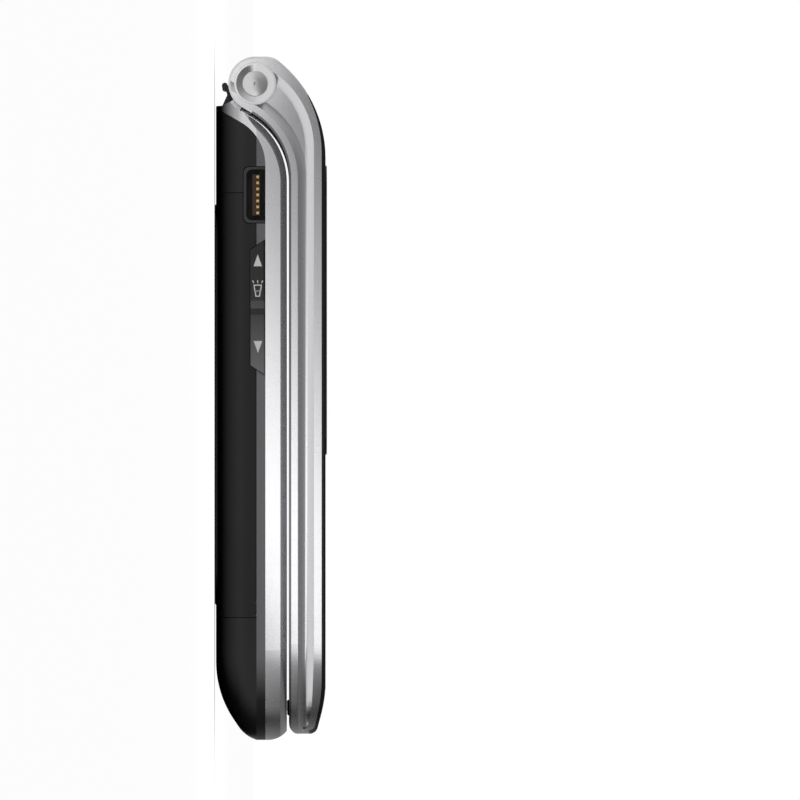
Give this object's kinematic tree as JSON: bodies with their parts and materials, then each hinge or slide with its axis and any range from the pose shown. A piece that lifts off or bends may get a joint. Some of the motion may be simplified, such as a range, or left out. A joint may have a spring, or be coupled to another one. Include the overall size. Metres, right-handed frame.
{
  "type": "flip phone",
  "caption": "Closed clamshell phone with scooped silver lid frame, ringed hinge ears, side rocker and side sockets.",
  "frame": {"origin": "in the flat back of the battery cover, at mid width and mid length of the closed phone", "axes": "+X to the headphone side, +Y to the hinge, +Z to the outside of the lid"},
  "size_m": [0.0533, 0.105, 0.0172],
  "materials": {
    "shell": "fine satin",
    "cover": "satin gloss",
    "window": "polished",
    "silver": "satin",
    "ring": "turned and polished",
    "cap": "polished",
    "strip": "satin",
    "key": "satin",
    "side_key": "satin",
    "plate": "brushed",
    "rubber": "matt",
    "socket": "matt",
    "tongue": "matt",
    "gold": "plated",
    "steel": "plain",
    "board": "solder mask",
    "film": "matt film",
    "cable": "flexible film",
    "display": "polished",
    "lens": "polished",
    "battery": "matt",
    "lamp": "frosted"
  },
  "bodies": {
    "base": {"rear_housing": "shell", "front_frame": "silver", "hinge_cover": "strip", "battery": "battery", "battery_contacts": "gold", "sim_tray": "steel", "side_switch": "board", "charging_socket": "socket", "socket_tongue": "tongue", "socket_contacts": "gold", "headphone_socket": "socket", "headphone_contacts": "gold", "keypad_plate": "plate", "keypad_domes": "film", "main_board": "board", "loudspeaker": "steel", "vibration_motor": "steel", "microphone": "steel", "camera_module": "socket", "camera_window": "lens", "torch_lamp": "lamp", "hinge_unit": "steel", "pivot_bush": "steel", "flex_cable": "cable", "base_screws": "steel"},
    "lid": {"lid_frame": "silver", "lid_inner_bezel": "silver", "lid_cover": "cover", "outer_window": "window", "hinge_rings": "ring", "hinge_caps": "cap", "lid_bumpers": "rubber", "hinge_shaft": "steel", "inner_display": "display", "inner_lens": "lens", "outer_display": "display", "lid_board": "board", "earpiece": "steel", "lid_magnet": "steel", "lid_screws": "steel"},
    "battery_cover_body": {"battery_cover": "cover"},
    "key_1_body": {"key_1": "key"},
    "key_2_body": {"key_2": "key"},
    "key_3_body": {"key_3": "key"},
    "key_4_body": {"key_4": "key"},
    "key_5_body": {"key_5": "key"},
    "key_6_body": {"key_6": "key"},
    "key_7_body": {"key_7": "key"},
    "key_8_body": {"key_8": "key"},
    "key_9_body": {"key_9": "key"},
    "key_star_body": {"key_star": "key"},
    "key_0_body": {"key_0": "key"},
    "key_hash_body": {"key_hash": "key"},
    "call_key_body": {"call_key": "key"},
    "end_key_body": {"end_key": "key"},
    "soft_left_key_body": {"soft_left_key": "key"},
    "soft_right_key_body": {"soft_right_key": "key"},
    "ok_key_body": {"ok_key": "key"},
    "nav_rocker_body": {"nav_rocker": "key"},
    "side_rocker_body": {"side_rocker": "side_key"}
  },
  "joints": [
    {"name": "lid_hinge", "type": "hinge", "parent": "base", "child": "lid", "pos_m": [0, 0.04836, 0.00625], "axis": [-1, 0, 0], "range_deg": [0, 150]},
    {"name": "battery_cover_lift", "type": "slide", "parent": "base", "child": "battery_cover_body", "axis": [0, 0, -1], "range_m": [0, 0.008]},
    {"name": "key_1_press", "type": "slide", "parent": "base", "child": "key_1_body", "axis": [0, 0, -1], "range_m": [0, 0.0003], "stiffness_N_per_m": 4000},
    {"name": "key_2_press", "type": "slide", "parent": "base", "child": "key_2_body", "axis": [0, 0, -1], "range_m": [0, 0.0003], "stiffness_N_per_m": 4000},
    {"name": "key_3_press", "type": "slide", "parent": "base", "child": "key_3_body", "axis": [0, 0, -1], "range_m": [0, 0.0003], "stiffness_N_per_m": 4000},
    {"name": "key_4_press", "type": "slide", "parent": "base", "child": "key_4_body", "axis": [0, 0, -1], "range_m": [0, 0.0003], "stiffness_N_per_m": 4000},
    {"name": "key_5_press", "type": "slide", "parent": "base", "child": "key_5_body", "axis": [0, 0, -1], "range_m": [0, 0.0003], "stiffness_N_per_m": 4000},
    {"name": "key_6_press", "type": "slide", "parent": "base", "child": "key_6_body", "axis": [0, 0, -1], "range_m": [0, 0.0003], "stiffness_N_per_m": 4000},
    {"name": "key_7_press", "type": "slide", "parent": "base", "child": "key_7_body", "axis": [0, 0, -1], "range_m": [0, 0.0003], "stiffness_N_per_m": 4000},
    {"name": "key_8_press", "type": "slide", "parent": "base", "child": "key_8_body", "axis": [0, 0, -1], "range_m": [0, 0.0003], "stiffness_N_per_m": 4000},
    {"name": "key_9_press", "type": "slide", "parent": "base", "child": "key_9_body", "axis": [0, 0, -1], "range_m": [0, 0.0003], "stiffness_N_per_m": 4000},
    {"name": "key_star_press", "type": "slide", "parent": "base", "child": "key_star_body", "axis": [0, 0, -1], "range_m": [0, 0.0003], "stiffness_N_per_m": 4000},
    {"name": "key_0_press", "type": "slide", "parent": "base", "child": "key_0_body", "axis": [0, 0, -1], "range_m": [0, 0.0003], "stiffness_N_per_m": 4000},
    {"name": "key_hash_press", "type": "slide", "parent": "base", "child": "key_hash_body", "axis": [0, 0, -1], "range_m": [0, 0.0003], "stiffness_N_per_m": 4000},
    {"name": "call_key_press", "type": "slide", "parent": "base", "child": "call_key_body", "axis": [0, 0, -1], "range_m": [0, 0.0003], "stiffness_N_per_m": 4000},
    {"name": "end_key_press", "type": "slide", "parent": "base", "child": "end_key_body", "axis": [0, 0, -1], "range_m": [0, 0.0003], "stiffness_N_per_m": 4000},
    {"name": "soft_left_key_press", "type": "slide", "parent": "base", "child": "soft_left_key_body", "axis": [0, 0, -1], "range_m": [0, 0.0003], "stiffness_N_per_m": 4000},
    {"name": "soft_right_key_press", "type": "slide", "parent": "base", "child": "soft_right_key_body", "axis": [0, 0, -1], "range_m": [0, 0.0003], "stiffness_N_per_m": 4000},
    {"name": "ok_key_press", "type": "slide", "parent": "base", "child": "ok_key_body", "axis": [0, 0, -1], "range_m": [0, 0.0003], "stiffness_N_per_m": 4000},
    {"name": "nav_rocker_tilt", "type": "hinge", "parent": "base", "child": "nav_rocker_body", "pos_m": [0, 0.0163, 0.0089], "axis": [1, 0, 0], "range_deg": [-1.5, 1.5], "stiffness_Nm_per_rad": 0.3},
    {"name": "side_rocker_tilt", "type": "hinge", "parent": "base", "child": "side_rocker_body", "pos_m": [-0.0254, 0.014, 0.0066], "axis": [0, 0, 1], "range_deg": [-1.2, 1.2], "stiffness_Nm_per_rad": 0.4}
  ]
}
